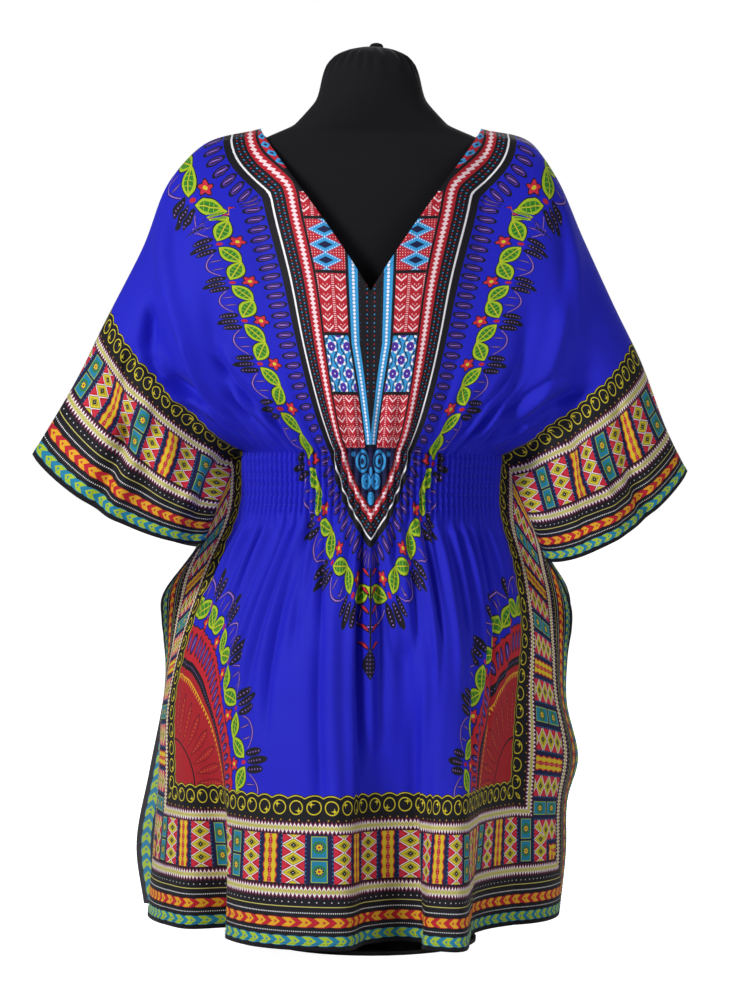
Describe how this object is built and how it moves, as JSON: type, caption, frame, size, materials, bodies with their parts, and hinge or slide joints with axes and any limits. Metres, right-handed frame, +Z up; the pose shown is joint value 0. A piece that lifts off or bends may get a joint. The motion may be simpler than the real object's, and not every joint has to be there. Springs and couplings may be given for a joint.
{
  "type": "dashiki kaftan shirt on a limbless dress form",
  "caption": "Kaftan-cut dashiki shirt with shirred waist, open half sleeves and free side flaps, on a limbless dress form with a round stand.",
  "frame": {"origin": "middle of the underside of the stand's round base plate, on the floor", "axes": "+Z up the pole to the neck; the shirt's front faces -Y; +X to the viewer's right, the wearer's left sleeve"},
  "size_m": [0.7339, 0.3724, 1.0081],
  "materials": {
    "printed_cotton": "plain-woven printed cotton, matt",
    "black_jersey": "stretched knitted cover, matt",
    "black_steel": "satin black enamel"
  },
  "bodies": {
    "root": {"front_panel": "printed_cotton", "back_panel": "printed_cotton", "dress_form": "black_jersey", "neck_tuft": "black_jersey", "stand_base": "black_steel", "stand_pole": "black_steel"}
  },
  "joints": []
}
